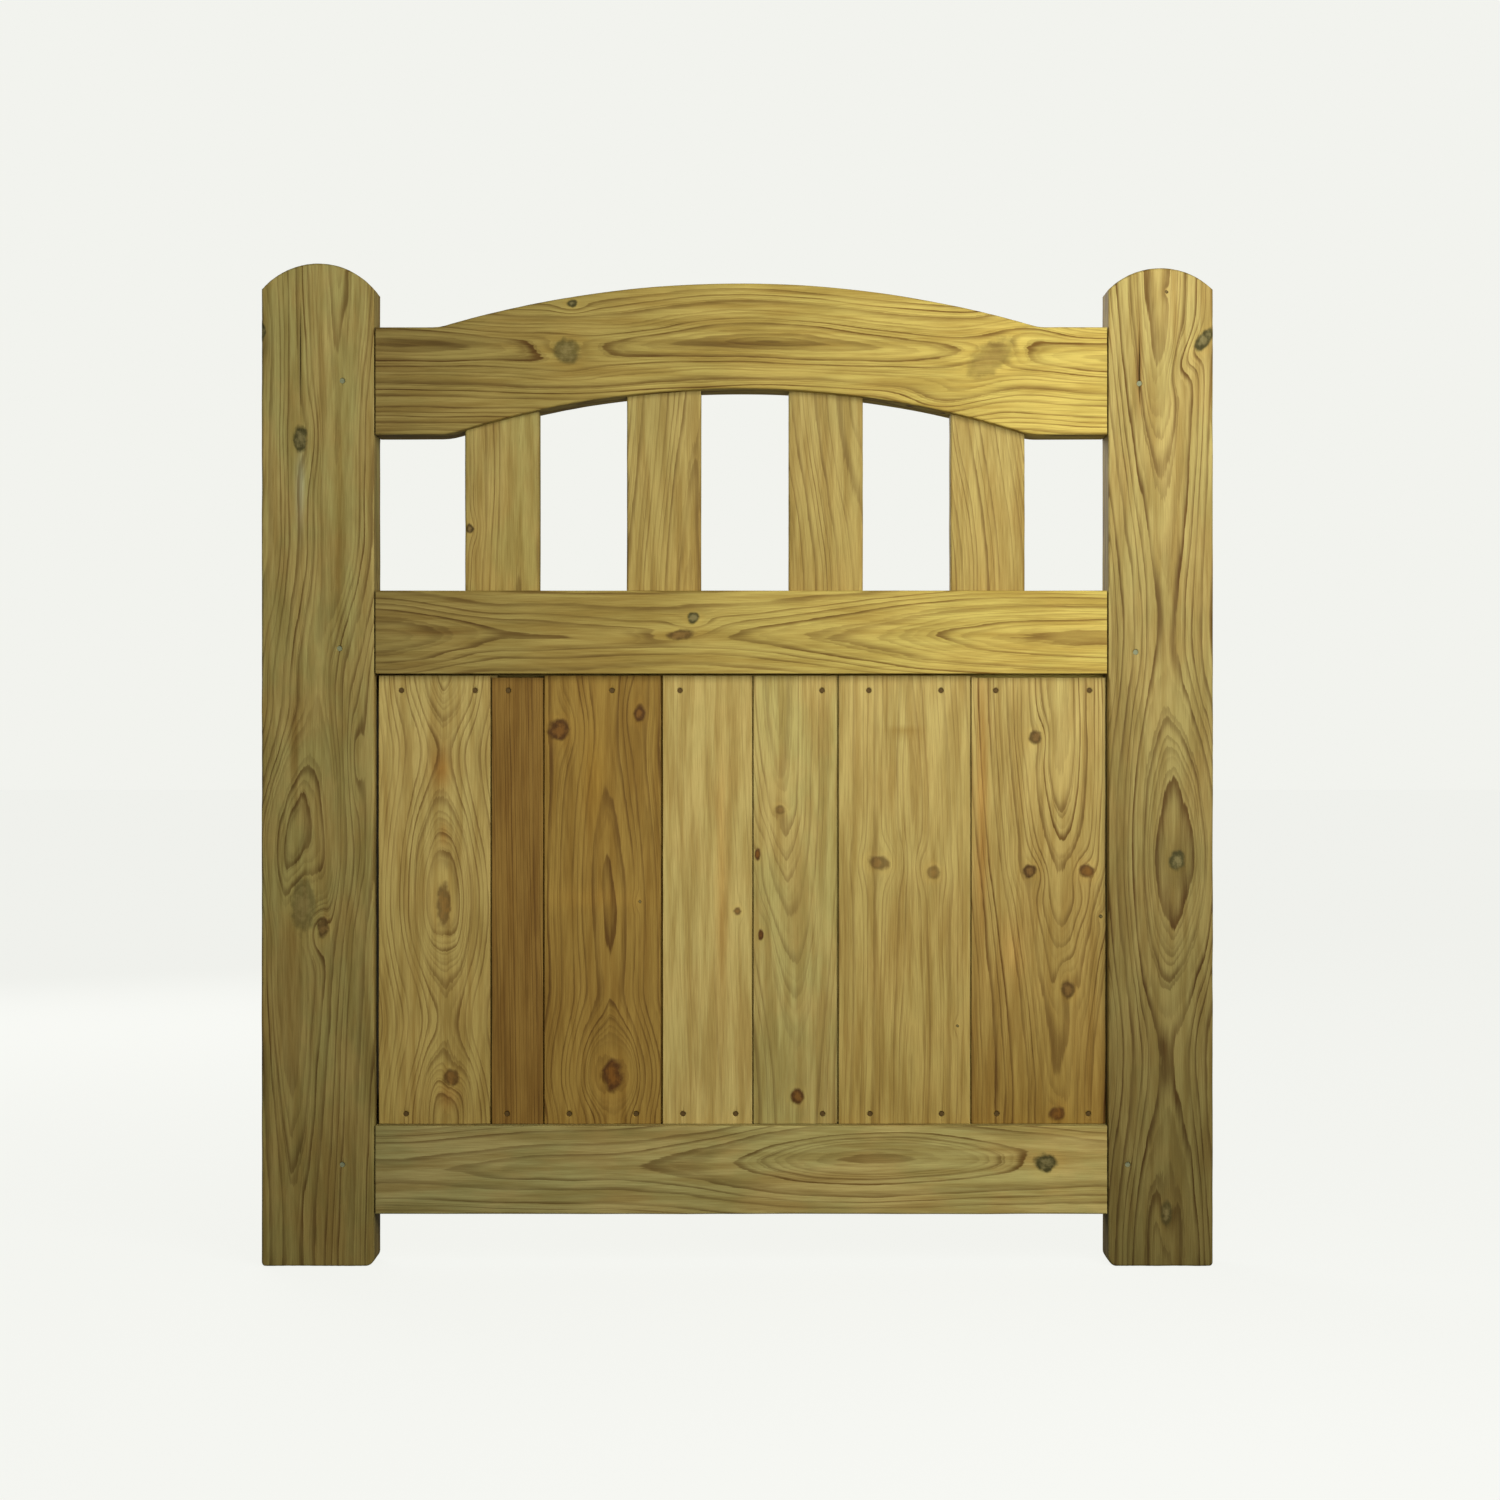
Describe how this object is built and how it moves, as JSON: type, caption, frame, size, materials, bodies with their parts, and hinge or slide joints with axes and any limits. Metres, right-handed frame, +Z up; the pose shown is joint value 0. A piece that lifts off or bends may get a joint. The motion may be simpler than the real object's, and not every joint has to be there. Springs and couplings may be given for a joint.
{
  "type": "garden gate",
  "caption": "Arched softwood garden gate leaf: rounded stiles, arched top rail over open pales, tongued boards below, mortice and tenon frame.",
  "frame": {"origin": "midway across the gate and midway through its thickness, at the level of the stiles' feet", "axes": "+X across the gate to the right as seen from its front, +Y from the front face to the back face, +Z up"},
  "size_m": [0.9, 0.045, 0.9484],
  "materials": {
    "stile_timber": "planed pressure-treated softwood, olive-green tint",
    "rail_timber": "planed pressure-treated softwood, yellow-olive tint",
    "pale_timber": "planed pressure-treated softwood, yellow-olive tint",
    "board_timber": "planed pressure-treated softwood, straw to brown",
    "galvanised_nails": "galvanised, dulled"
  },
  "bodies": {
    "root": {"board_1": "board_timber", "board_1_nails": "galvanised_nails", "board_2": "board_timber", "board_2_nails": "galvanised_nails", "board_3": "board_timber", "board_3_nails": "galvanised_nails", "board_4": "board_timber", "board_4_nails": "galvanised_nails", "board_5": "board_timber", "board_5_nails": "galvanised_nails", "board_6": "board_timber", "board_6_nails": "galvanised_nails", "board_7": "board_timber", "board_7_nails": "galvanised_nails", "bottom_rail": "rail_timber", "bottom_rail_nails": "galvanised_nails", "left_stile": "stile_timber", "middle_rail": "rail_timber", "middle_rail_nails": "galvanised_nails", "pale_1": "pale_timber", "pale_2": "pale_timber", "pale_3": "pale_timber", "pale_4": "pale_timber", "right_stile": "stile_timber", "top_rail": "rail_timber", "top_rail_nails": "galvanised_nails"}
  },
  "joints": []
}
